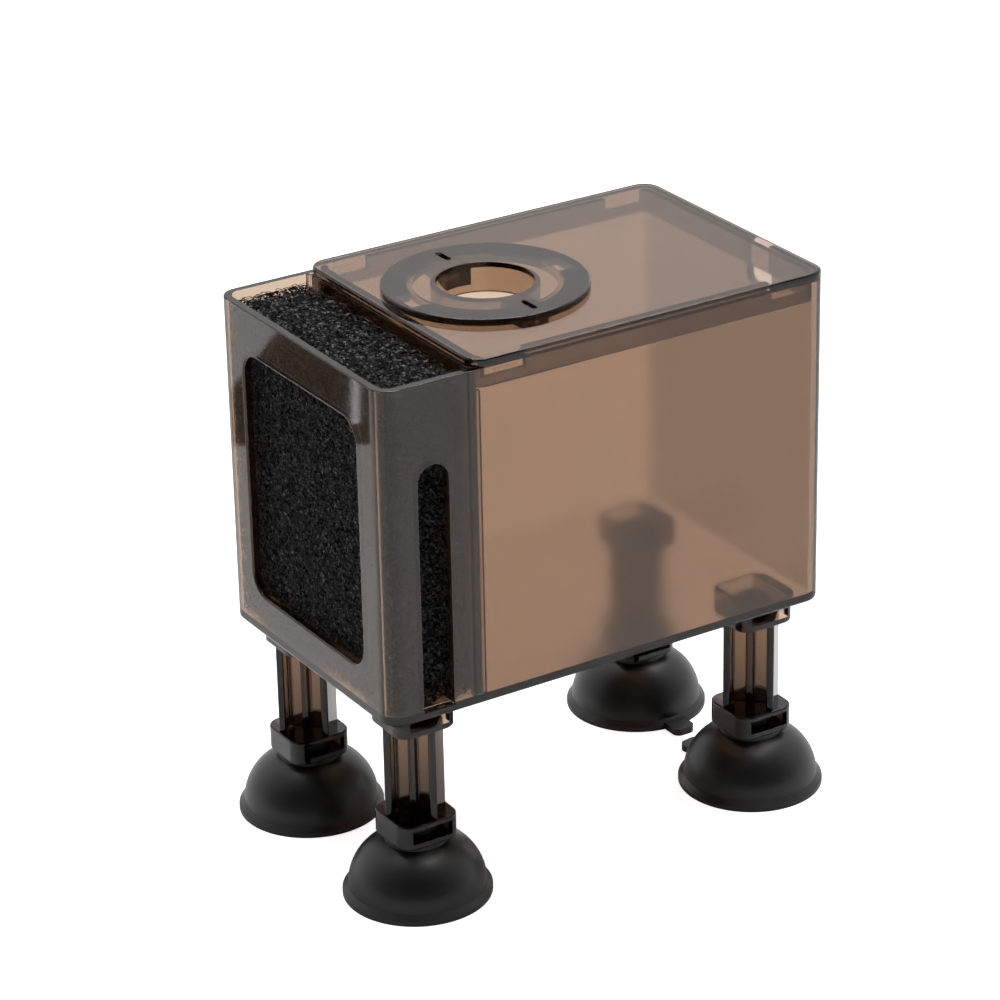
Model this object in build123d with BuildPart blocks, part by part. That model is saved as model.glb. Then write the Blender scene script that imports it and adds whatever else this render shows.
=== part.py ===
"""Box-shaped aquarium filter that stands on four suction cups.

A submersible pump goes in the rear chamber and pushes water up through the turning ring in the
lid. Water comes in through the sponge at the front. The pump itself is not part of the filter.
Frame: X across, Y from the sponge end (-Y) to the rear (+Y), Z up from the surface it stands on.
Sizes are in millimetres.
"""
from build123d import *
import os

# Housing
housing_width = 83.6
housing_length = 137.0
housing_height = 93.4
wall = 2.3
floor_thickness = 2.2
corner_radius = 5.3
bottom_edge_radius = 1.2
rim_edge_radius = 0.3

# Openings in the housing
window_width = 57.6
window_height = 69.1
window_radius = 6.5
window_sill = 12.0
window_edge_radius = 0.7
slot_width = 9.0
slot_front_margin = 10.3
slot_top_margin = 22.6
slot_sill = 0.4
slot_edge_radius = 0.5
notch_width = 11.2
notch_depth = 12.4
notch_offset = 13.9
notch_radius = 2.0

# Divider between the sponge bay and the pump chamber
bay_length = 24.7
divider_thickness = 1.6
divider_clearance = 0.2
guide_rib_depth = 1.4
guide_rib_thickness = 1.0
grille_slot_width = 3.2
grille_slot_pitch = 6.2
grille_columns = 10
grille_rows = 3
grille_bar = 4.0
grille_margin = 6.0

# Sponge
sponge_clearance = 0.3
sponge_below_rim = 1.6

# Lid
lid_thickness = 2.2
lid_edge_radius = 0.6
skirt_depth = 6.1
skirt_thickness = 1.8
skirt_clearance = 0.3
skirt_window_length = 12.4
skirt_window_height = 3.6
skirt_window_end_margin = 2.5
snap_bead_length = 7.0
snap_bead_height = 1.2
snap_bead_depth = 0.2
snap_bead_below_rim = 1.6

# Outlet ring, locked into the lid by two lugs
ring_from_front = 57.0
ring_radius = 27.5
ring_thickness = 1.8
ring_edge_radius = 0.5
bore_radius = 13.0
collar_thickness = 1.4
collar_length = 8.4
lid_hole_radius = 20.5
pilot_clearance = 0.08
pilot_thickness = 1.2
pilot_depth = 1.6
lug_width = 8.0
lug_reach = 3.9
lug_height = 2.2
lug_gap = 0.3
keyway_clearance = 0.5
core_slot_length = 6.5
core_slot_width = 1.8
core_slot_start = 17.7

# Clip block: the same on the housing's underside and at the foot of each leg
clip_size = 17.8
clip_radius = 4.2
clip_height = 6.9
clip_edge_radius = 0.5
clip_lip = 1.8
clip_slot_width = 12.0
clip_slot_height = 3.8
clip_hole_radius = 4.5
fit_clearance = 0.05

# Leg column, an H with a rib down the middle, turned on the diagonal
leg_from_side = 13.55
leg_from_end = 14.4
column_length = 26.0
column_width = 14.0
column_depth = 10.0
column_plate = 2.0
column_rib_depth = 5.4
column_angle = -44.0
column_edge_radius = 0.4
spigot_length = 4.6
spigot_chamfer = 0.6
seat_radius = 6.4
seat_thickness = 1.0

# Suction cup
cup_radius = 20.0
cup_height = 17.2
cup_rim_height = 1.2
cup_lip_width = 1.5
cup_lip_height = 2.6
cup_shoulder_radius = 8.6
cup_shoulder_height = 1.3
cup_bulge_radius = 15.2
cup_bulge_height = 11.4
cup_rim_wall = 1.0
cup_hollow_height = 11.0
cup_head_radius = 5.6
cup_head_thickness = 2.8
cup_head_fillet = 0.8
tab_length = 5.6
tab_width = 6.6
tab_thickness = 2.0
tab_overlap = 0.8
tab_corner_radius = 2.0
tab_angles = {"front_left": 120.0, "front_right": 180.0, "rear_left": 0.0, "rear_right": 188.0}

# Levels and places that follow from the sizes above
leg_foot_z = cup_height
leg_top_z = leg_foot_z + clip_height + column_length
floor_z = leg_top_z + clip_height
rim_z = floor_z + housing_height
chamber_floor_z = floor_z + floor_thickness
front_y = -housing_length / 2
rear_y = housing_length / 2
inner_width = housing_width - 2 * wall
inner_length = housing_length - 2 * wall
inner_radius = corner_radius - wall
divider_front_y = front_y + wall + bay_length
divider_rear_y = divider_front_y + divider_thickness
lid_front_y = divider_front_y
lid_length = rear_y - lid_front_y
lid_middle_y = (rear_y + lid_front_y) / 2
skirt_front_y = divider_rear_y + skirt_clearance
skirt_rear_y = rear_y - wall - skirt_clearance
skirt_width = inner_width - 2 * skirt_clearance
skirt_length = skirt_rear_y - skirt_front_y
skirt_middle_y = (skirt_rear_y + skirt_front_y) / 2
snap_front_y = skirt_front_y + skirt_window_end_margin + skirt_window_length / 2
snap_rear_y = skirt_rear_y - skirt_window_end_margin - skirt_window_length / 2
leg_x = housing_width / 2 - leg_from_side
leg_y = housing_length / 2 - leg_from_end
corners = {
    "front_left": (-leg_x, -leg_y),
    "front_right": (leg_x, -leg_y),
    "rear_left": (-leg_x, leg_y),
    "rear_right": (leg_x, leg_y),
}

os.makedirs("parts", exist_ok=True)


def level(z, x=0.0, y=0.0):
    """A level plane with its origin at the given point."""
    return Plane(origin=(x, y, z))


def save(builder, name):
    """Label a finished piece and write it to its own STEP file."""
    builder.part.label = name
    export_step(builder.part, f"parts/{name}.step")


def clip_cuts(x, y, z):
    """Cut a clip block's cross slot and the hole in its lower lip, inside the open part."""
    with BuildSketch(level(z + clip_lip, x, y)) as cross_slot:
        Rectangle(clip_size * 2, clip_slot_width)
    extrude(cross_slot.sketch, amount=clip_slot_height, mode=Mode.SUBTRACT)
    with BuildSketch(level(z, x, y)) as hole:
        Circle(clip_hole_radius)
    extrude(hole.sketch, amount=clip_lip + clip_slot_height / 2, mode=Mode.SUBTRACT)


# ---------------------------------------------------------------------------------------------
# Housing: an open box with a stepped floor, an intake window, two side slots, a cord notch, the
# divider's guide ribs and four clip blocks under the floor
# ---------------------------------------------------------------------------------------------
with BuildPart() as housing:
    with BuildSketch(level(floor_z)):
        RectangleRounded(housing_width, housing_length, corner_radius)
    extrude(amount=housing_height)
    fillet(housing.faces().sort_by(Axis.Z)[0].edges(), bottom_edge_radius)

    # Clip blocks for the legs
    for block_x, block_y in corners.values():
        with BuildSketch(level(leg_top_z, block_x, block_y)):
            RectangleRounded(clip_size, clip_size, clip_radius)
        extrude(amount=clip_height + floor_thickness / 2)
        rim_edges = housing.faces().filter_by(Axis.Z).group_by(Axis.Z)[0].edges()
        fillet(rim_edges.filter_by_position(Axis.X, block_x - clip_size, block_x + clip_size)
               .filter_by_position(Axis.Y, block_y - clip_size, block_y + clip_size),
               clip_edge_radius)

    # Hollow inside
    with BuildSketch(level(chamber_floor_z)):
        RectangleRounded(inner_width, inner_length, inner_radius)
    extrude(amount=housing_height, mode=Mode.SUBTRACT)
    fillet(housing.faces().sort_by(Axis.Z)[-1].edges(), rim_edge_radius)

    # Intake window in the front wall
    window_middle_z = floor_z + window_sill + window_height / 2
    with BuildSketch(Plane.XZ.offset(-front_y)):
        with Locations((0, window_middle_z)):
            RectangleRounded(window_width, window_height, window_radius)
    extrude(amount=-wall * 1.5, mode=Mode.SUBTRACT)
    front_face = housing.faces().filter_by(Axis.Y).sort_by(Axis.Y)[0]
    fillet(front_face.inner_wires()[0].edges(), window_edge_radius)

    # Round-topped slot in each side wall
    slot_y = front_y + slot_front_margin + slot_width / 2
    slot_bottom_z = chamber_floor_z + slot_sill
    slot_arc_z = rim_z - slot_top_margin - slot_width / 2
    with BuildSketch(Plane.YZ):
        with Locations((slot_y, (slot_bottom_z + slot_arc_z) / 2)):
            Rectangle(slot_width, slot_arc_z - slot_bottom_z)
        with Locations((slot_y, slot_arc_z)):
            Circle(slot_width / 2)
    extrude(amount=housing_width, both=True, mode=Mode.SUBTRACT)
    for side in (0, -1):
        side_face = housing.faces().filter_by(Axis.X).sort_by(Axis.X)[side]
        fillet(side_face.inner_wires()[0].edges(), slot_edge_radius)

    # Cord notch in the rear wall
    with BuildSketch(Plane.XZ.offset(-rear_y)) as notch_outline:
        with Locations((notch_offset, rim_z - notch_depth / 2)):
            Rectangle(notch_width, notch_depth)
        fillet(notch_outline.vertices().group_by(Axis.Z)[0], notch_radius)
    extrude(amount=wall * 1.5, mode=Mode.SUBTRACT)

    # Guide ribs that hold the divider, the rear pair stopping under the lid's skirt
    front_rib_y = divider_front_y - divider_clearance - guide_rib_thickness / 2
    rear_rib_y = divider_rear_y + divider_clearance + guide_rib_thickness / 2
    for rib_y, rib_top_z in ((front_rib_y, rim_z), (rear_rib_y, rim_z - skirt_depth - skirt_clearance)):
        for side in (-1, 1):
            rib_x = side * (inner_width / 2 - guide_rib_depth / 2 + wall / 4)
            with BuildSketch(level(chamber_floor_z - floor_thickness / 2, rib_x, rib_y)):
                Rectangle(guide_rib_depth + wall / 2, guide_rib_thickness)
            extrude(amount=rib_top_z - chamber_floor_z + floor_thickness / 2)

    # Snap beads behind the windows in the lid's skirt
    for bead_y in (snap_front_y, snap_rear_y):
        for side in (-1, 1):
            bead_x = side * (inner_width / 2 - snap_bead_depth / 2 + wall / 4)
            with BuildSketch(level(rim_z - snap_bead_below_rim - snap_bead_height, bead_x, bead_y)):
                Rectangle(snap_bead_depth + wall / 2, snap_bead_length)
            extrude(amount=snap_bead_height)

    for block_x, block_y in corners.values():
        clip_cuts(block_x, block_y, leg_top_z)
save(housing, "housing")


# ---------------------------------------------------------------------------------------------
# Divider: a slotted plate that slides down between the guide ribs and keeps the sponge off the
# pump
# ---------------------------------------------------------------------------------------------
divider_width = inner_width - 2 * divider_clearance
divider_height = rim_z - chamber_floor_z - divider_clearance
grille_slot_height = (divider_height - 2 * grille_margin - (grille_rows - 1) * grille_bar) / grille_rows
with BuildPart() as divider:
    divider_middle_z = chamber_floor_z + divider_height / 2
    with BuildSketch(Plane.XZ.offset(-divider_front_y)):
        with Locations((0, divider_middle_z)):
            Rectangle(divider_width, divider_height)
            with GridLocations(grille_slot_pitch, grille_slot_height + grille_bar,
                               grille_columns, grille_rows):
                SlotOverall(grille_slot_height, grille_slot_width, rotation=90, mode=Mode.SUBTRACT)
    extrude(amount=-divider_thickness)
save(divider, "divider_grille")


# ---------------------------------------------------------------------------------------------
# Sponge: a foam block that fills the bay
# ---------------------------------------------------------------------------------------------
sponge_width = inner_width - 2 * sponge_clearance
sponge_front_y = front_y + wall + sponge_clearance
sponge_rear_y = front_rib_y - guide_rib_thickness / 2 - sponge_clearance
sponge_top_z = rim_z - sponge_below_rim
sponge_bottom_z = chamber_floor_z + sponge_clearance
with BuildPart() as sponge:
    with BuildSketch(level(sponge_bottom_z, 0, (sponge_front_y + sponge_rear_y) / 2)):
        RectangleRounded(sponge_width, sponge_rear_y - sponge_front_y, inner_radius)
    extrude(amount=sponge_top_z - sponge_bottom_z)
save(sponge, "sponge")


# ---------------------------------------------------------------------------------------------
# Lid: a plate on the rim with a skirt that plugs into the pump chamber, and a keyed hole for the
# outlet ring
# ---------------------------------------------------------------------------------------------
ring_y = front_y + ring_from_front
lug_radius = lid_hole_radius + lug_reach
with BuildPart() as lid:
    with BuildSketch(level(rim_z, 0, lid_middle_y)):
        RectangleRounded(housing_width, lid_length, corner_radius)
    extrude(amount=lid_thickness)
    fillet(lid.faces().sort_by(Axis.Z)[-1].edges(), lid_edge_radius)
    with BuildSketch(level(rim_z - skirt_depth, 0, skirt_middle_y)):
        RectangleRounded(skirt_width, skirt_length, inner_radius)
        RectangleRounded(skirt_width - 2 * skirt_thickness, skirt_length - 2 * skirt_thickness,
                         inner_radius / 2, mode=Mode.SUBTRACT)
    extrude(amount=skirt_depth)

    # Windows that catch the snap beads
    for snap_y in (snap_front_y, snap_rear_y):
        with BuildSketch(level(rim_z - skirt_window_height, 0, snap_y)):
            Rectangle(housing_width, skirt_window_length)
        extrude(amount=skirt_window_height, mode=Mode.SUBTRACT)

    # Hole for the ring's pilot, with a keyway at the front and rear for its lugs
    with BuildSketch(level(rim_z, 0, ring_y)):
        Circle(lid_hole_radius)
        Rectangle(lug_width + 2 * keyway_clearance, 2 * (lug_radius + keyway_clearance))
    extrude(amount=lid_thickness, mode=Mode.SUBTRACT)
save(lid, "lid")


# ---------------------------------------------------------------------------------------------
# Outlet ring: a disc with a collar for the pump's outlet, a pilot in the lid's hole and two lugs
# that lock under the lid when the ring is turned a quarter
# ---------------------------------------------------------------------------------------------
lid_top_z = rim_z + lid_thickness
ring_top_z = lid_top_z + ring_thickness
pilot_radius = lid_hole_radius - pilot_clearance
collar_radius = bore_radius + collar_thickness
lug_bottom_z = rim_z - lug_gap - lug_height
with BuildPart() as ring:
    with BuildSketch(level(lid_top_z, 0, ring_y)):
        Circle(ring_radius)
    extrude(amount=ring_thickness)
    fillet(ring.faces().sort_by(Axis.Z)[-1].edges(), ring_edge_radius)
    with BuildSketch(level(lid_top_z - pilot_depth, 0, ring_y)):
        Circle(pilot_radius)
        Circle(pilot_radius - pilot_thickness, mode=Mode.SUBTRACT)
    extrude(amount=pilot_depth)

    # Arms from the collar through the lid's hole, then the lugs under the lid
    with BuildSketch(level(lug_bottom_z, 0, ring_y)):
        Rectangle(2 * pilot_radius, lug_width)
        Circle(pilot_radius, mode=Mode.INTERSECT)
    extrude(amount=lid_top_z - lug_bottom_z)
    with BuildSketch(level(lug_bottom_z, 0, ring_y)):
        Rectangle(2 * lug_radius, lug_width)
        Circle(lug_radius, mode=Mode.INTERSECT)
    extrude(amount=lug_height)

    # Collar and its bore
    with BuildSketch(level(ring_top_z - collar_length, 0, ring_y)):
        Circle(collar_radius)
    extrude(amount=collar_length - ring_thickness / 2)
    with BuildSketch(level(ring_top_z - collar_length, 0, ring_y)):
        Circle(bore_radius)
    extrude(amount=collar_length, mode=Mode.SUBTRACT)

    # Core slots over the lugs
    with BuildSketch(level(lid_top_z, 0, ring_y)):
        for side in (-1, 1):
            with Locations((side * (core_slot_start + core_slot_length / 2), 0)):
                SlotOverall(core_slot_length, core_slot_width)
    extrude(amount=ring_thickness, mode=Mode.SUBTRACT)
save(ring, "outlet_ring")


# ---------------------------------------------------------------------------------------------
# Legs: a spigot that plugs into the housing's clip block, an H column and a clip block at the
# foot
# ---------------------------------------------------------------------------------------------
def make_leg(name, x, y):
    """One leg, standing at the given corner."""
    column_z = leg_foot_z + clip_height
    column_plane = Plane(origin=(x, y, column_z), z_dir=(0, 0, 1)).rotated((0, 0, column_angle + 90))
    with BuildPart() as leg:
        with BuildSketch(level(leg_foot_z, x, y)):
            RectangleRounded(clip_size, clip_size, clip_radius)
        extrude(amount=clip_height)
        ends = leg.faces().filter_by(Axis.Z)
        fillet(ends.edges(), clip_edge_radius)

        # The column's two side plates stand at the ends of its web, with a rib down the middle
        with BuildSketch(column_plane) as section:
            Rectangle(column_width, column_plate)
            with GridLocations(column_width - column_plate, 0, 2, 1):
                Rectangle(column_plate, column_depth)
            Rectangle(column_plate, column_rib_depth)
            fillet(section.vertices(), column_edge_radius)
        extrude(amount=column_length)

        with BuildSketch(level(leg_top_z - seat_thickness, x, y)):
            Circle(seat_radius)
        extrude(amount=seat_thickness)
        with BuildSketch(level(leg_top_z - seat_thickness, x, y)):
            Circle(clip_hole_radius - fit_clearance)
        extrude(amount=seat_thickness + spigot_length)
        chamfer(leg.faces().sort_by(Axis.Z)[-1].edges(), spigot_chamfer)
        clip_cuts(x, y, leg_foot_z)
    save(leg, name)


# ---------------------------------------------------------------------------------------------
# Suction cups: a hollow rubber dome with a stepped rim, a pull tab and a head that snaps into the
# leg's clip block
# ---------------------------------------------------------------------------------------------
def make_cup(name, x, y, tab_angle):
    """One suction cup under the given corner, its tab turned this many degrees from +X."""
    axis_plane = Plane(origin=(x, y, 0), x_dir=(0, 1, 0), z_dir=(1, 0, 0))
    neck_radius = clip_hole_radius - fit_clearance
    head_z = leg_foot_z + clip_lip + fit_clearance
    shoulder_z = cup_height - fit_clearance
    dome_radius = cup_radius - cup_lip_width
    dome_top_z = cup_height - cup_shoulder_height
    with BuildPart() as cup:
        with BuildSketch(axis_plane) as profile:
            with BuildLine():
                Polyline((0, cup_hollow_height), (0, head_z + cup_head_thickness),
                         (cup_head_radius, head_z + cup_head_thickness), (cup_head_radius, head_z),
                         (neck_radius, head_z), (neck_radius, shoulder_z),
                         (cup_shoulder_radius, shoulder_z))
                Line((cup_shoulder_radius, shoulder_z), (cup_shoulder_radius, dome_top_z))
                ThreePointArc((cup_shoulder_radius, dome_top_z), (cup_bulge_radius, cup_bulge_height),
                              (dome_radius, cup_lip_height))
                Polyline((dome_radius, cup_lip_height), (cup_radius, cup_rim_height), (cup_radius, 0),
                         (cup_radius - cup_rim_wall, 0))
                TangentArc((0, cup_hollow_height), (cup_radius - cup_rim_wall, 0), tangent=(1, 0))
            make_face()
        revolve(axis=Axis((x, y, 0), (0, 0, 1)))
        fillet(cup.faces().sort_by(Axis.Z)[-1].edges(), cup_head_fillet)

        # Pull tab on the rim, its two outer corners rounded
        tab_plane = Plane(origin=(x, y, 0), z_dir=(0, 0, 1)).rotated((0, 0, tab_angle))
        with BuildSketch(tab_plane) as tab:
            with Locations((cup_radius + (tab_length - tab_overlap) / 2, 0)):
                Rectangle(tab_length + tab_overlap, tab_width)
        extrude(tab.sketch, amount=tab_thickness)
        upright_edges = cup.edges().filter_by(Axis.Z)
        fillet(upright_edges.sort_by_distance((x, y, tab_thickness / 2))[-2:], tab_corner_radius)
    save(cup, name)


for corner, (corner_x, corner_y) in corners.items():
    make_leg(f"leg_{corner}", corner_x, corner_y)
    make_cup(f"suction_cup_{corner}", corner_x, corner_y, tab_angles[corner])
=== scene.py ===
import math
import random
import bpy
import bmesh
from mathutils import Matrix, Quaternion, Vector


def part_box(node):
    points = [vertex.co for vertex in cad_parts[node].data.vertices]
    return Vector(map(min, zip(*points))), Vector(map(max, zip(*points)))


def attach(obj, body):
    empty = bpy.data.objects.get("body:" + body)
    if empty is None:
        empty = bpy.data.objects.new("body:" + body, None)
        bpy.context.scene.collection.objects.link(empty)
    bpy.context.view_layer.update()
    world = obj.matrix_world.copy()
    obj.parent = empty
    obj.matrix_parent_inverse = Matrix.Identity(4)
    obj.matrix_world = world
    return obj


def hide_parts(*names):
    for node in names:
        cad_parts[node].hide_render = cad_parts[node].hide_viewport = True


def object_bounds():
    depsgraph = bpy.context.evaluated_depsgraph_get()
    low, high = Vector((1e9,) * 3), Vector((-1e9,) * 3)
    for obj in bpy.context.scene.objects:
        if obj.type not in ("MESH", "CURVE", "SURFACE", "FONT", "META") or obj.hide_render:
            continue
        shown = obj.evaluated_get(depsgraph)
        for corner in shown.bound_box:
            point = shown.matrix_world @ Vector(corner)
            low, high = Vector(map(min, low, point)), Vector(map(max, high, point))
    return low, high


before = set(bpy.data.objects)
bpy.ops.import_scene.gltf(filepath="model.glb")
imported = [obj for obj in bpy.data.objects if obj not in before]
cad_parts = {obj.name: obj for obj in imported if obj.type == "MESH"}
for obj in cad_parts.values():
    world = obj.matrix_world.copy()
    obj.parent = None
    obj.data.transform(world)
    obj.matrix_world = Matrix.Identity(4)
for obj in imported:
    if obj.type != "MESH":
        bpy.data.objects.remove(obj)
cad_low, cad_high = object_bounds()

# ---------------------------------------------------------------------------------------------
# Camera: it looks down on the lid from in front of the right-hand side, from about a metre away
# ---------------------------------------------------------------------------------------------
camera_azimuth = math.radians(58.142)
camera_elevation = math.radians(24.628)
camera_roll = math.radians(-1.2037)
camera_distance = 1.04235
looked_at = (cad_low + cad_high) / 2 + Vector((-0.00079, -0.00789, 0.01306))
towards_camera = Vector((math.sin(camera_azimuth) * math.cos(camera_elevation),
                         -math.cos(camera_azimuth) * math.cos(camera_elevation),
                         math.sin(camera_elevation)))
camera = bpy.data.objects.new("camera", bpy.data.cameras.new("camera"))
camera.data.sensor_width = 36.0
camera.data.lens = 140.469
camera.data.clip_start = 0.02
camera.data.clip_end = 30.0
camera.location = looked_at + towards_camera * camera_distance
camera_turn = towards_camera.to_track_quat("Z", "Y") @ Quaternion((0, 0, 1), camera_roll)
camera.rotation_euler = camera_turn.to_euler()
bpy.context.collection.objects.link(camera)
bpy.context.scene.camera = camera

# ---------------------------------------------------------------------------------------------
# Housing: an open box injection moulded in clear styrene with a brown-grey smoke tint. Its outer
# faces are polished and its inner faces lightly frosted. The whole filter is built up on it
# ---------------------------------------------------------------------------------------------


def moulding_marks():
    """Group: the faint flow streaks and clouding of a moulded wall, as a mask and a fine relief."""
    group = bpy.data.node_groups.new("moulding_marks", "ShaderNodeTree")
    group.interface.new_socket(name="Scale", in_out="INPUT", socket_type="NodeSocketFloat")
    group.interface.new_socket(name="Cloud", in_out="OUTPUT", socket_type="NodeSocketFloat")
    group.interface.new_socket(name="Relief", in_out="OUTPUT", socket_type="NodeSocketFloat")
    nodes, links = group.nodes, group.links
    taken = nodes.new("NodeGroupInput")
    given = nodes.new("NodeGroupOutput")
    place = nodes.new("ShaderNodeTexCoord")
    stretch = nodes.new("ShaderNodeMapping")
    stretch.inputs["Scale"].default_value = (1.0, 1.0, 0.35)
    cloud = nodes.new("ShaderNodeTexNoise")
    cloud.inputs["Detail"].default_value = 3.0
    fine = nodes.new("ShaderNodeTexNoise")
    fine.inputs["Scale"].default_value = 1400.0
    fine.inputs["Detail"].default_value = 2.0
    links.new(place.outputs["Object"], stretch.inputs["Vector"])
    links.new(stretch.outputs["Vector"], cloud.inputs["Vector"])
    links.new(taken.outputs["Scale"], cloud.inputs["Scale"])
    links.new(place.outputs["Object"], fine.inputs["Vector"])
    links.new(cloud.outputs["Fac"], given.inputs["Cloud"])
    links.new(fine.outputs["Fac"], given.inputs["Relief"])
    return group


marks_group = moulding_marks()


def smoked_plastic(name, thin_tint, thick_tint, smoke_density, polish, frost=0.0, inside=None,
                   painted_shade=None):
    """Smoked clear plastic. inside is the half size of a box about the origin in X and Y: faces
    within it are frosted, and the rest are polished. painted_shade gives an axis along which the
    base colour is painted darker, as painted shade: where the darkening starts, where it is
    darkest, and how much of the light colour is left there."""
    material = bpy.data.materials.new(name)
    material.use_nodes = True
    nodes, links = material.node_tree.nodes, material.node_tree.links
    nodes.clear()
    output = nodes.new("ShaderNodeOutputMaterial")
    plastic = nodes.new("ShaderNodeBsdfPrincipled")
    plastic.inputs["Transmission Weight"].default_value = 1.0
    plastic.inputs["IOR"].default_value = 1.49
    marks = nodes.new("ShaderNodeGroup")
    marks.node_tree = marks_group
    marks.inputs["Scale"].default_value = 45.0
    tint = nodes.new("ShaderNodeMix")
    tint.data_type = "RGBA"
    tint.inputs["A"].default_value = (*thin_tint, 1.0)
    tint.inputs["B"].default_value = (*thick_tint, 1.0)
    links.new(marks.outputs["Cloud"], tint.inputs["Factor"])
    links.new(tint.outputs["Result"], plastic.inputs["Base Color"])
    place = nodes.new("ShaderNodeTexCoord")
    apart = nodes.new("ShaderNodeSeparateXYZ")
    links.new(place.outputs["Object"], apart.inputs["Vector"])
    # Painted shade: the tint is scaled darker along one axis. This stands for shade, not for a
    # change in the plastic's own colour.
    if painted_shade is not None:
        axis, start, end, left = painted_shade
        darkening = nodes.new("ShaderNodeMapRange")
        darkening.inputs["From Min"].default_value = start
        darkening.inputs["From Max"].default_value = end
        darkening.inputs["To Min"].default_value = 1.0
        darkening.inputs["To Max"].default_value = left
        links.new(apart.outputs[axis], darkening.inputs["Value"])
        dim = nodes.new("ShaderNodeVectorMath")
        dim.operation = "SCALE"
        links.new(tint.outputs["Result"], dim.inputs[0])
        links.new(darkening.outputs["Result"], dim.inputs["Scale"])
        links.new(dim.outputs["Vector"], plastic.inputs["Base Color"])

    # Roughness: polished outside, frosted inside, a little clouded
    rough = nodes.new("ShaderNodeMapRange")
    rough.inputs["From Min"].default_value = 0.3
    rough.inputs["From Max"].default_value = 0.7
    links.new(marks.outputs["Cloud"], rough.inputs["Value"])
    if inside is None:
        rough.inputs["To Min"].default_value = polish * 0.85
        rough.inputs["To Max"].default_value = polish * 1.15
    else:
        within = None
        for axis, half in zip("XY", inside):
            size = nodes.new("ShaderNodeMath")
            size.operation = "ABSOLUTE"
            links.new(apart.outputs[axis], size.inputs[0])
            test = nodes.new("ShaderNodeMath")
            test.operation = "LESS_THAN"
            test.inputs[1].default_value = half
            links.new(size.outputs[0], test.inputs[0])
            if within is None:
                within = test
            else:
                both = nodes.new("ShaderNodeMath")
                both.operation = "MULTIPLY"
                links.new(within.outputs[0], both.inputs[0])
                links.new(test.outputs[0], both.inputs[1])
                within = both
        frosted = nodes.new("ShaderNodeMapRange")
        frosted.inputs["To Min"].default_value = polish
        frosted.inputs["To Max"].default_value = frost
        links.new(within.outputs[0], frosted.inputs["Value"])
        most = nodes.new("ShaderNodeMath")
        most.operation = "MULTIPLY"
        most.inputs[1].default_value = 1.2
        links.new(frosted.outputs["Result"], most.inputs[0])
        links.new(frosted.outputs["Result"], rough.inputs["To Min"])
        links.new(most.outputs[0], rough.inputs["To Max"])
    links.new(rough.outputs["Result"], plastic.inputs["Roughness"])

    relief = nodes.new("ShaderNodeBump")
    relief.inputs["Strength"].default_value = 0.012
    relief.inputs["Distance"].default_value = 0.0001
    links.new(marks.outputs["Relief"], relief.inputs["Height"])
    links.new(relief.outputs["Normal"], plastic.inputs["Normal"])

    # Light from lamps, and light that surfaces scatter, passes straight through with the tint
    path = nodes.new("ShaderNodeLightPath")
    through = nodes.new("ShaderNodeBsdfTransparent")
    through.inputs["Color"].default_value = (0.80, 0.74, 0.70, 1.0)
    by_lamp = nodes.new("ShaderNodeMixShader")
    by_glow = nodes.new("ShaderNodeMixShader")
    links.new(path.outputs["Is Shadow Ray"], by_lamp.inputs[0])
    links.new(plastic.outputs[0], by_lamp.inputs[1])
    links.new(through.outputs[0], by_lamp.inputs[2])
    links.new(path.outputs["Is Diffuse Ray"], by_glow.inputs[0])
    links.new(by_lamp.outputs[0], by_glow.inputs[1])
    links.new(through.outputs[0], by_glow.inputs[2])
    links.new(by_glow.outputs[0], output.inputs["Surface"])
    smoke = nodes.new("ShaderNodeVolumeAbsorption")
    smoke.inputs["Color"].default_value = (0.33, 0.20, 0.09, 1.0)
    smoke.inputs["Density"].default_value = smoke_density
    links.new(smoke.outputs[0], output.inputs["Volume"])
    return material


def finish_node(node, material):
    """Gives a moulded part its material."""
    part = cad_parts[node]
    part.data.materials.clear()
    part.data.materials.append(material)


housing_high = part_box("housing")[1]
half_wall = 0.0012
inside_x = housing_high.x - half_wall
inside_y = housing_high.y - half_wall
# Painted shade: over the rear wall, beyond before_rear_wall, the housing's tint is painted darker.
before_rear_wall = housing_high.y - 0.0030
at_rear_wall = housing_high.y - 0.0024
housing_plastic = smoked_plastic("smoked_housing", (0.77, 0.64, 0.53), (0.73, 0.60, 0.49), 300.0,
                                 polish=0.035, frost=0.12, inside=(inside_x, inside_y),
                                 painted_shade=("Y", before_rear_wall, at_rear_wall, 0.66))
finish_node("housing", housing_plastic)

# ---------------------------------------------------------------------------------------------
# Divider: a slotted plate moulded in a darker, duller smoke than the housing. It slides down
# between the guide ribs, and parts the sponge bay from the pump chamber
# ---------------------------------------------------------------------------------------------
grille_plastic = smoked_plastic("smoked_grille", (0.22, 0.20, 0.19), (0.18, 0.165, 0.155), 560.0,
                                polish=0.15)
finish_node("divider_grille", grille_plastic)

# ---------------------------------------------------------------------------------------------
# Lid: a moulded smoked plate with a skirt that snaps over the housing. The skirt, below the
# plate's rounded rim, has its tint painted darker: painted shade for how much deeper the tint
# looks there, where it is seen edge on
# ---------------------------------------------------------------------------------------------
lid_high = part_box("lid")[1]
rim_z = lid_high.z - 0.0022
rim_blend = 0.0001
lid_plastic = smoked_plastic("smoked_lid", (0.77, 0.65, 0.55), (0.73, 0.61, 0.51), 300.0,
                             polish=0.06, painted_shade=("Z", rim_z + rim_blend, rim_z - rim_blend, 0.55))
finish_node("lid", lid_plastic)

# ---------------------------------------------------------------------------------------------
# Outlet ring: a thick moulded disc and collar, so a shade deeper than the lid. Its pilot turns in
# the lid's hole, and two lugs under the lid hold it
# ---------------------------------------------------------------------------------------------
ring_plastic = smoked_plastic("smoked_ring", (0.70, 0.58, 0.47), (0.66, 0.54, 0.43), 330.0,
                              polish=0.05)
finish_node("outlet_ring", ring_plastic)
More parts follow.
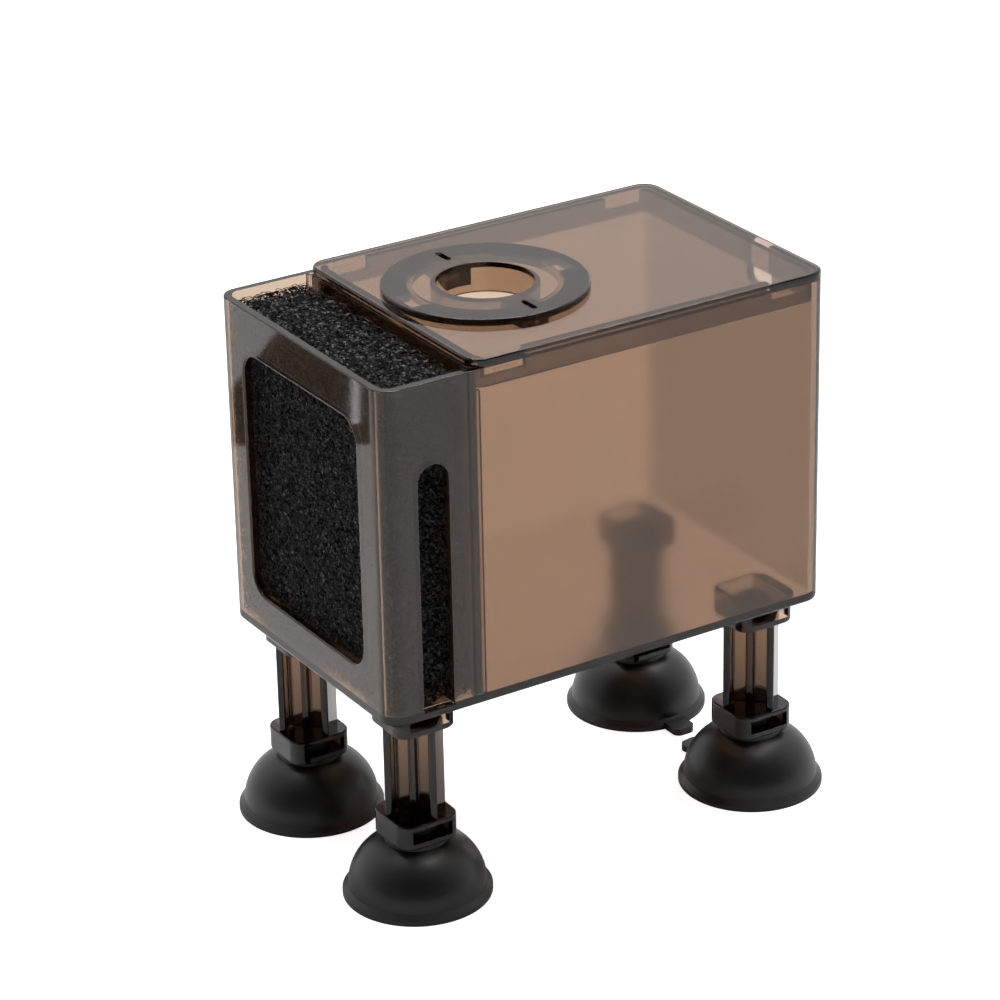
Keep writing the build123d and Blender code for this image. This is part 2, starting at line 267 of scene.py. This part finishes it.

# ---------------------------------------------------------------------------------------------
# Legs: four moulded H columns, each with a spigot that plugs into the housing's clip block and a
# clip block for a cup. They are the most deeply smoked pieces, and their tint is painted darker
# towards the cups as painted shade
# ---------------------------------------------------------------------------------------------
four_corners = ["front_left", "front_right", "rear_left", "rear_right"]
leg_low, leg_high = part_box("leg_front_left")
leg_plastic = smoked_plastic("smoked_legs", (0.36, 0.24, 0.15), (0.32, 0.21, 0.13), 620.0,
                             polish=0.08, painted_shade=("Z", leg_high.z, leg_low.z, 0.18))
for corner in four_corners:
    finish_node("leg_" + corner, leg_plastic)

# ---------------------------------------------------------------------------------------------
# Sponge: a block of black open-cell filter foam, about a cell to the millimetre, cut with a hot
# wire. It is loose in the bay: the housing's walls and the divider hold it
# ---------------------------------------------------------------------------------------------
sponge_low, sponge_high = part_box("sponge")


def foam_block(inset, cell):
    """A closed box of cell-sized squares, set in from the cut faces of the foam."""
    block = bmesh.new()
    bmesh.ops.create_cube(block, size=1.0)
    size = (sponge_high - sponge_low) - Vector((2 * inset, 2 * inset, 2 * inset))
    bmesh.ops.scale(block, vec=size, verts=block.verts)
    bmesh.ops.translate(block, vec=(sponge_low + sponge_high) / 2, verts=block.verts)
    for axis in range(3):
        along = [e for e in block.edges
                 if abs(e.verts[0].co[axis] - e.verts[1].co[axis]) > size[axis] / 2]
        bmesh.ops.subdivide_edges(block, edges=along, cuts=round(size[axis] / cell) - 1,
                                  use_grid_fill=True)
    return block


def foam_net(inset, cell, wander, strut, opened, seed):
    """One layer of the foam's cell walls: struts along a wandering net."""
    chance = random.Random(seed)
    net = foam_block(inset, cell)
    for vert in net.verts:
        vert.co += Vector([chance.uniform(-wander, wander) for _ in range(3)])
    cut = [e for e in net.edges if chance.random() < opened]
    bmesh.ops.dissolve_edges(net, edges=cut, use_verts=False)
    bmesh.ops.wireframe(net, faces=net.faces[:], thickness=strut, offset=0.0,
                        use_replace=True, use_boundary=False, use_even_offset=False)
    return net


def foam_shreds(inset, cell, crumple, missing, seed):
    """One layer of torn cell walls: a crumpled skin with some of its squares missing."""
    chance = random.Random(seed)
    skin = foam_block(inset, cell)
    for vert in skin.verts:
        vert.co += Vector([chance.uniform(-crumple, crumple) for _ in range(3)])
    torn = [f for f in skin.faces if chance.random() < missing]
    bmesh.ops.delete(skin, geom=torn, context="FACES")
    return skin


foam = foam_block(inset=0.0026, cell=0.0020)
core_wobble = 0.0004
chance = random.Random(9)
for vert in foam.verts:
    vert.co += Vector([chance.uniform(-core_wobble, core_wobble) for _ in range(3)])
foam_layers = [
    foam_net(inset=0.00040, cell=0.00100, wander=0.00036, strut=0.00016, opened=0.18, seed=3),
    foam_shreds(inset=0.00075, cell=0.00062, crumple=0.00036, missing=0.55, seed=4),
    foam_shreds(inset=0.00150, cell=0.00070, crumple=0.00045, missing=0.40, seed=5),
]
for layer in foam_layers:
    spare = bpy.data.meshes.new("foam_layer")
    layer.to_mesh(spare)
    layer.free()
    foam.from_mesh(spare)
    bpy.data.meshes.remove(spare)
foam_mesh = bpy.data.meshes.new("sponge_foam")
foam.to_mesh(foam_mesh)
foam.free()
sponge = bpy.data.objects.new("sponge_foam", foam_mesh)
bpy.context.collection.objects.link(sponge)

foam_black = bpy.data.materials.new("filter_foam")
foam_black.use_nodes = True
nodes, links = foam_black.node_tree.nodes, foam_black.node_tree.links
skin = nodes["Principled BSDF"]
place = nodes.new("ShaderNodeTexCoord")
grain = nodes.new("ShaderNodeTexNoise")
grain.inputs["Scale"].default_value = 900.0
links.new(place.outputs["Object"], grain.inputs["Vector"])
soot = nodes.new("ShaderNodeMix")
soot.data_type = "RGBA"
soot.inputs["A"].default_value = (0.003, 0.003, 0.003, 1.0)
soot.inputs["B"].default_value = (0.008, 0.007, 0.006, 1.0)
links.new(grain.outputs["Fac"], soot.inputs["Factor"])
links.new(soot.outputs["Result"], skin.inputs["Base Color"])
shine = nodes.new("ShaderNodeMapRange")
shine.inputs["To Min"].default_value = 0.16
shine.inputs["To Max"].default_value = 0.36
links.new(grain.outputs["Fac"], shine.inputs["Value"])
links.new(shine.outputs["Result"], skin.inputs["Roughness"])
skin.inputs["Specular IOR Level"].default_value = 0.25
foam_mesh.materials.append(foam_black)
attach(sponge, "sponge")
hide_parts("sponge")

# ---------------------------------------------------------------------------------------------
# Suction cups: moulded in soft black rubber with a satin skin, pushed into the legs' clip blocks
# ---------------------------------------------------------------------------------------------
rubber = bpy.data.materials.new("cup_rubber")
rubber.use_nodes = True
nodes, links = rubber.node_tree.nodes, rubber.node_tree.links
skin = nodes["Principled BSDF"]
place = nodes.new("ShaderNodeTexCoord")
cloud = nodes.new("ShaderNodeTexNoise")
cloud.inputs["Scale"].default_value = 120.0
cloud.inputs["Detail"].default_value = 4.0
links.new(place.outputs["Object"], cloud.inputs["Vector"])
shade = nodes.new("ShaderNodeMix")
shade.data_type = "RGBA"
shade.inputs["A"].default_value = (0.006, 0.006, 0.006, 1.0)
shade.inputs["B"].default_value = (0.012, 0.011, 0.011, 1.0)
links.new(cloud.outputs["Fac"], shade.inputs["Factor"])
links.new(shade.outputs["Result"], skin.inputs["Base Color"])
satin = nodes.new("ShaderNodeMapRange")
satin.inputs["To Min"].default_value = 0.30
satin.inputs["To Max"].default_value = 0.42
links.new(cloud.outputs["Fac"], satin.inputs["Value"])
links.new(satin.outputs["Result"], skin.inputs["Roughness"])
pores = nodes.new("ShaderNodeTexNoise")
pores.inputs["Scale"].default_value = 2500.0
links.new(place.outputs["Object"], pores.inputs["Vector"])
relief = nodes.new("ShaderNodeBump")
relief.inputs["Strength"].default_value = 0.15
relief.inputs["Distance"].default_value = 0.00005
links.new(pores.outputs["Fac"], relief.inputs["Height"])
links.new(relief.outputs["Normal"], skin.inputs["Normal"])
for corner in four_corners:
    finish_node("suction_cup_" + corner, rubber)

# ---------------------------------------------------------------------------------------------
# Studio: a white table that runs on into a white surround, under one large soft box. A dark card
# with a light strip on it lies off to the left, only to be reflected in the front wall
# ---------------------------------------------------------------------------------------------
table = bmesh.new()
bmesh.ops.create_grid(table, x_segments=2, y_segments=2, size=6.0)
table_mesh = bpy.data.meshes.new("table")
table.to_mesh(table_mesh)
table.free()
floor = bpy.data.objects.new("table", table_mesh)
gap_under_cups = 0.00002
floor.location.z = -gap_under_cups
bpy.context.collection.objects.link(floor)
white = bpy.data.materials.new("table_white")
white.use_nodes = True
nodes, links = white.node_tree.nodes, white.node_tree.links
sheet = nodes["Principled BSDF"]
sheet.inputs["Base Color"].default_value = (0.86, 0.86, 0.86, 1.0)
sheet.inputs["Roughness"].default_value = 0.9
sheet.inputs["Specular IOR Level"].default_value = 0.0
sheet.inputs["Emission Color"].default_value = (1.0, 1.0, 1.0, 1.0)

# The table glows a little to the camera and through the plastic, so that it reads as white there
route = nodes.new("ShaderNodeLightPath")
straight = nodes.new("ShaderNodeMath")
straight.operation = "MULTIPLY"
straight.inputs[1].default_value = 0.80
links.new(route.outputs["Is Camera Ray"], straight.inputs[0])
glow = nodes.new("ShaderNodeMath")
glow.operation = "MULTIPLY_ADD"
glow.inputs[1].default_value = 0.45
links.new(route.outputs["Is Transmission Ray"], glow.inputs[0])
links.new(straight.outputs[0], glow.inputs[2])
links.new(glow.outputs[0], sheet.inputs["Emission Strength"])
table_mesh.materials.append(white)


def reflected_card(name, corners, height, shade, glow):
    """A flat card on the table that shows only in the filter's polished faces."""
    sheet = bmesh.new()
    sheet.faces.new([sheet.verts.new((x, y, height)) for x, y in corners])
    sheet_mesh = bpy.data.meshes.new(name)
    sheet.to_mesh(sheet_mesh)
    sheet.free()
    card = bpy.data.objects.new(name, sheet_mesh)
    bpy.context.collection.objects.link(card)
    paint = bpy.data.materials.new(name)
    paint.use_nodes = True
    coat = paint.node_tree.nodes["Principled BSDF"]
    coat.inputs["Base Color"].default_value = (shade, shade, shade, 1.0)
    coat.inputs["Roughness"].default_value = 0.9
    coat.inputs["Emission Color"].default_value = (1.0, 1.0, 1.0, 1.0)
    coat.inputs["Emission Strength"].default_value = glow
    sheet_mesh.materials.append(paint)
    card.visible_camera = False
    card.visible_diffuse = False
    card.visible_shadow = False


reflected_card("dark_card",
               [(-0.2640, -0.1690), (-0.2295, -0.2215), (-0.2790, -0.2520), (-0.3400, -0.2500)],
               height=0.0002, shade=0.02, glow=0.0)
reflected_card("light_strip",
               [(-0.2477, -0.2243), (-0.2465, -0.2265), (-0.2850, -0.2492), (-0.2862, -0.2470)],
               height=0.0004, shade=0.02, glow=2.4)

# The surround is white where it is looked at, and lights the filter more from one side
world = bpy.data.worlds.new("surround")
bpy.context.scene.world = world
world.use_nodes = True
nodes, links = world.node_tree.nodes, world.node_tree.links
nodes.clear()
sky_out = nodes.new("ShaderNodeOutputWorld")
seen = nodes.new("ShaderNodeBackground")
seen.inputs["Color"].default_value = (1.0, 1.0, 1.0, 1.0)
seen.inputs["Strength"].default_value = 1.5
lighting = nodes.new("ShaderNodeBackground")
way = nodes.new("ShaderNodeTexCoord")
across = nodes.new("ShaderNodeVectorMath")
across.operation = "DOT_PRODUCT"
bright_side = (-math.sin(camera_azimuth), math.cos(camera_azimuth), 0.0)
across.inputs[1].default_value = bright_side
links.new(way.outputs["Generated"], across.inputs[0])
fade = nodes.new("ShaderNodeMapRange")
fade.interpolation_type = "SMOOTHSTEP"
fade.inputs["From Min"].default_value = -0.7
fade.inputs["From Max"].default_value = 0.5
fade.inputs["To Min"].default_value = 0.10
fade.inputs["To Max"].default_value = 1.15
links.new(across.outputs["Value"], fade.inputs["Value"])
links.new(fade.outputs["Result"], lighting.inputs["Strength"])
route = nodes.new("ShaderNodeLightPath")
either = nodes.new("ShaderNodeMath")
either.operation = "MAXIMUM"
links.new(route.outputs["Is Camera Ray"], either.inputs[0])
links.new(route.outputs["Is Transmission Ray"], either.inputs[1])
pick = nodes.new("ShaderNodeMixShader")
links.new(either.outputs[0], pick.inputs[0])
links.new(lighting.outputs[0], pick.inputs[1])
links.new(seen.outputs[0], pick.inputs[2])
links.new(pick.outputs[0], sky_out.inputs["Surface"])


def soft_light(name, at, size, power):
    """A square soft box aimed at the middle of the filter."""
    lamp = bpy.data.lights.new(name, "AREA")
    lamp.shape = "SQUARE"
    lamp.size = size
    lamp.energy = power
    box = bpy.data.objects.new(name, lamp)
    box.location = at
    box.rotation_euler = (Vector(at) - looked_at).to_track_quat("Z", "Y").to_euler()
    bpy.context.collection.objects.link(box)


soft_light("top_box", at=(-0.25, 0.25, 1.3), size=1.0, power=18.0)
bpy.context.scene.view_settings.view_transform = "Standard"
